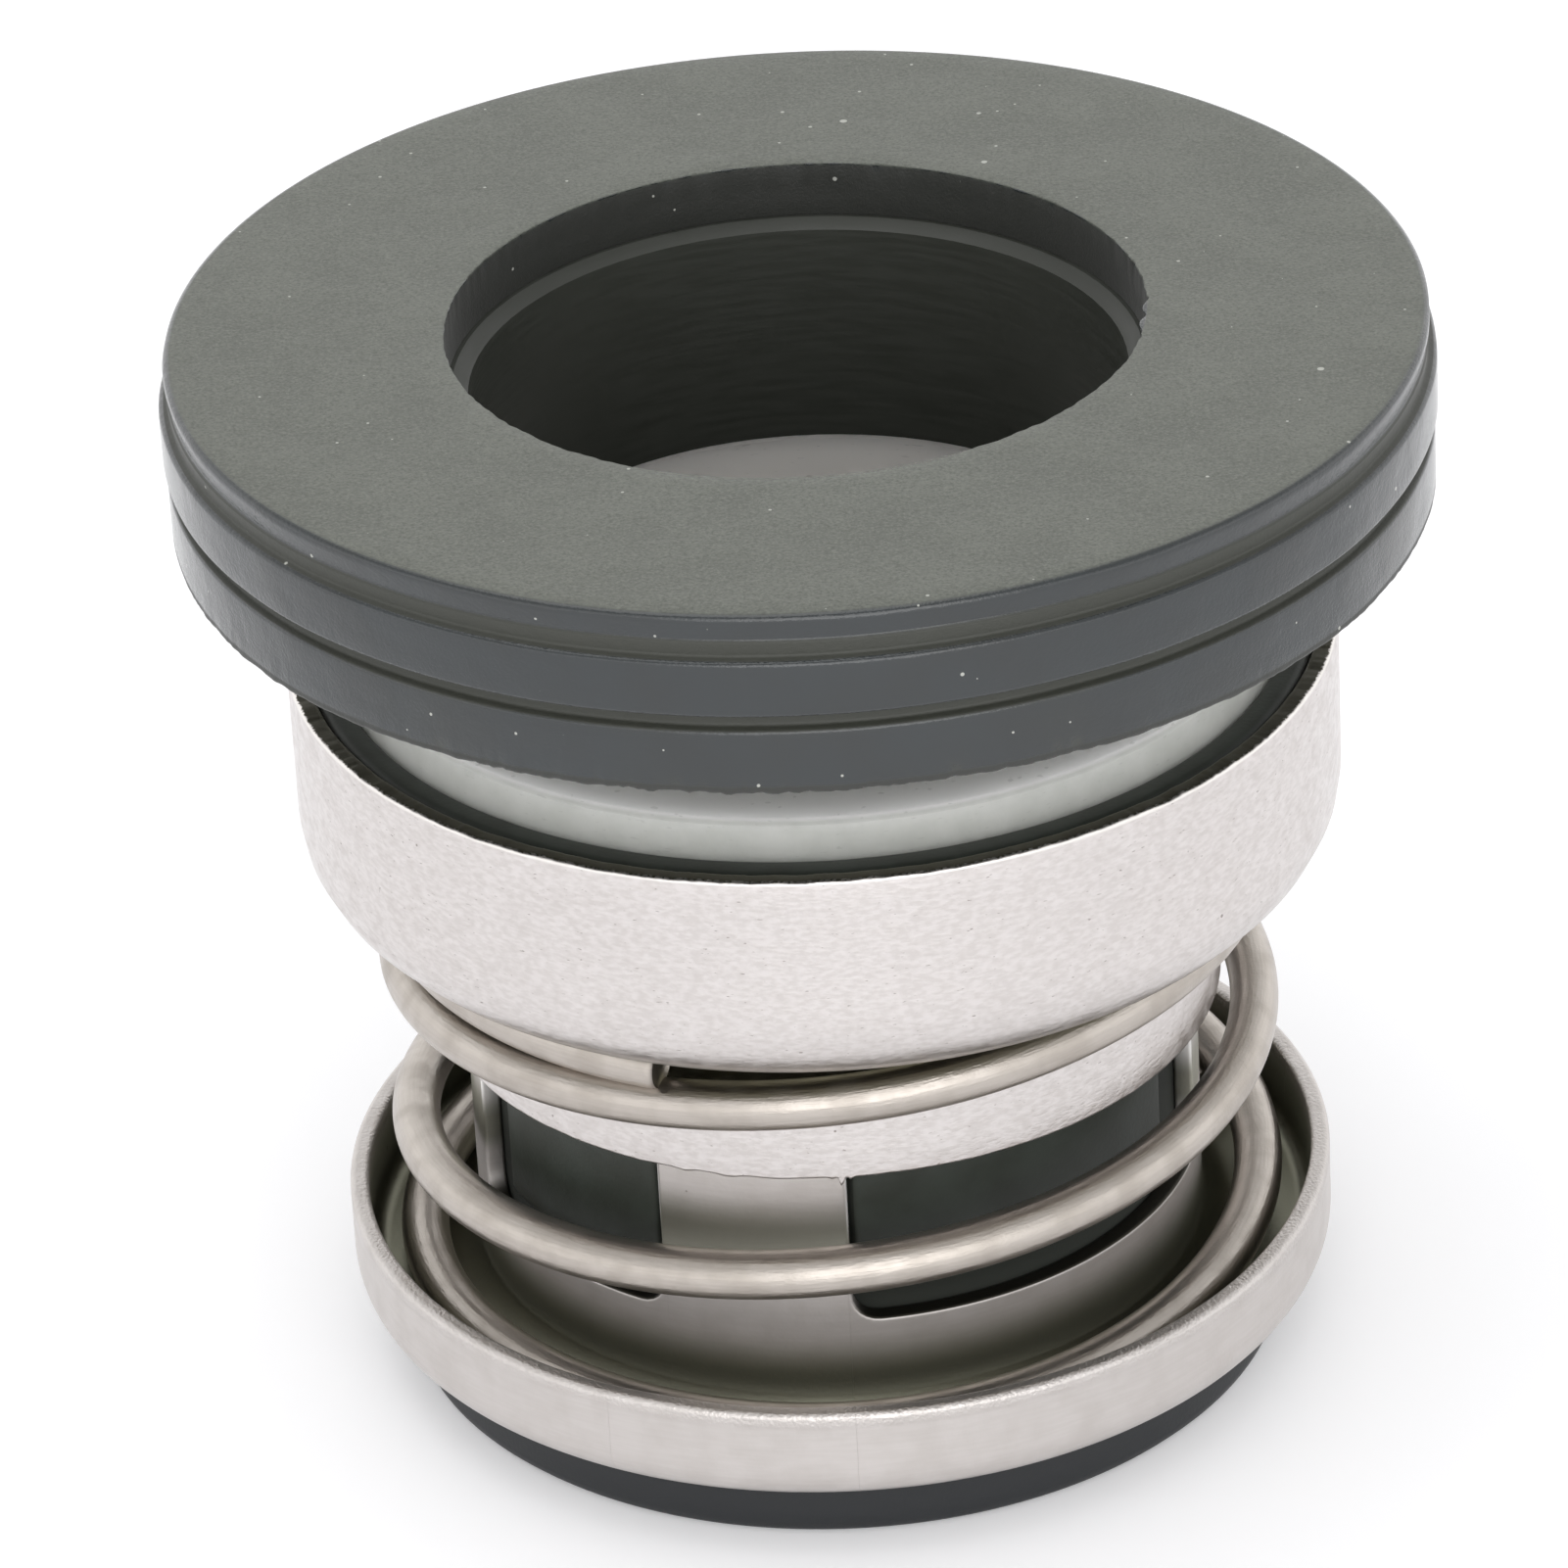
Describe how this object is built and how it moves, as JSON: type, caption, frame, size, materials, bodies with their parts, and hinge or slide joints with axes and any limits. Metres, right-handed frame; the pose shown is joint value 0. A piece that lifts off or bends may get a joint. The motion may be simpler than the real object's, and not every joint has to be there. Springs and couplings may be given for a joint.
{
  "type": "component mechanical seal",
  "caption": "Shaft seal: a spring-loaded bellows head with a ceramic face ring runs against a carbon seat held in a ribbed rubber cup.",
  "frame": {"origin": "on the shaft axis, at the face of the bellows foot that the seal stands on", "axes": "+Z along the shaft axis, from the bellows foot towards the seat; X and Y across the shaft"},
  "size_m": [0.0322, 0.0322, 0.0291],
  "materials": {
    "seat_rubber": "matte, dusty olive black",
    "bellows_rubber": "matte black",
    "carbon": "fine matte, lapped on the running face",
    "ceramic": "lapped face, ground side",
    "case_steel": "deep-drawn and tumbled, satin",
    "spring_steel": "drawn wire, satin"
  },
  "bodies": {
    "drive": {"spring_cup": "case_steel", "bellows": "bellows_rubber", "spring": "spring_steel"},
    "head": {"shell": "case_steel", "face_ring": "ceramic"},
    "seat": {"seat_cup": "seat_rubber", "seat_ring": "carbon"}
  },
  "joints": [
    {"name": "head_slide", "type": "slide", "parent": "drive", "child": "head", "axis": [0, 0, 1], "range_m": [-0.0025, 0], "stiffness_N_per_m": 1500, "deforming": ["spring", "bellows"]},
    {"name": "seat_turn", "type": "hinge", "parent": "head", "child": "seat", "pos_m": [0, 0, 0.0214], "axis": [0, 0, 1], "continuous": true}
  ]
}
